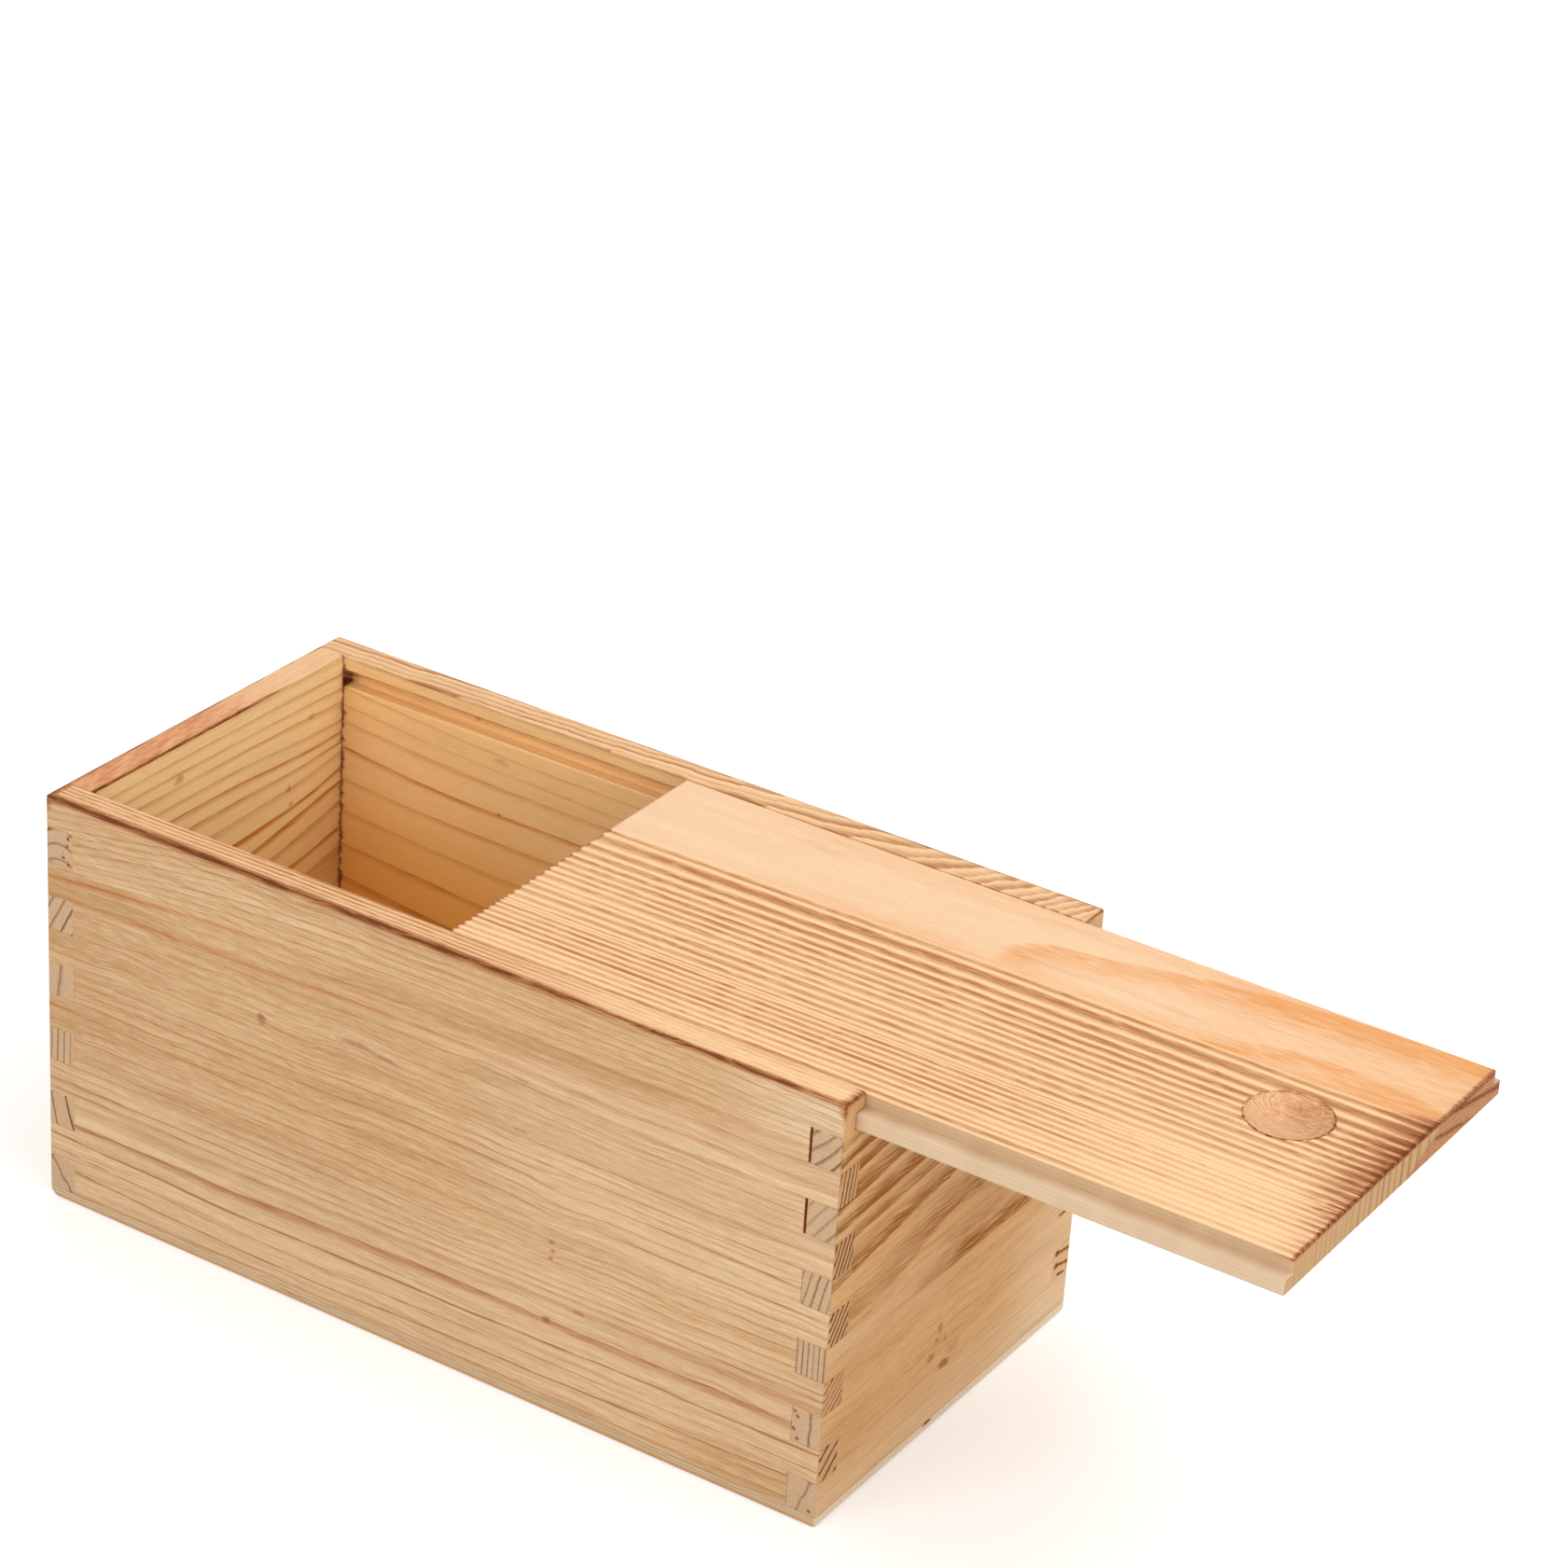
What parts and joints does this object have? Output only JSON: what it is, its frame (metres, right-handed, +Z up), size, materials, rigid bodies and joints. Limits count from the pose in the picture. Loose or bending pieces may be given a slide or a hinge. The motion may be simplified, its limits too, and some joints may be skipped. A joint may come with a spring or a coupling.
{
  "type": "sliding lid box",
  "caption": "Rectangular pine box with box-jointed corners, a thin glued-on base and a lid that slides out lengthwise in grooves, with a round finger dish near its outer edge.",
  "frame": {"origin": "the middle of the flat underside of the base, midway between the two ends and the two sides", "axes": "+X along the box towards the open end that the lid is drawn out of, +Y across it towards the rear side, +Z up"},
  "size_m": [0.372, 0.127, 0.126],
  "materials": {
    "pine_sides": "planed pine, torched along the top arrises and waxed",
    "pine_ends": "torched and brushed pine, waxed",
    "base_ply": "thin plywood, bare",
    "pine_lid": "torched and brushed pine with raised grain, waxed"
  },
  "bodies": {
    "box": {"side_front": "pine_sides", "side_rear": "pine_sides", "end_far": "pine_ends", "end_near": "pine_ends", "base_panel": "base_ply"},
    "lid": {"lid": "pine_lid"}
  },
  "joints": [
    {"name": "lid_slide", "type": "slide", "parent": "box", "child": "lid", "axis": [1, 0, 0], "range_m": [-0.118, 0.1267]}
  ]
}
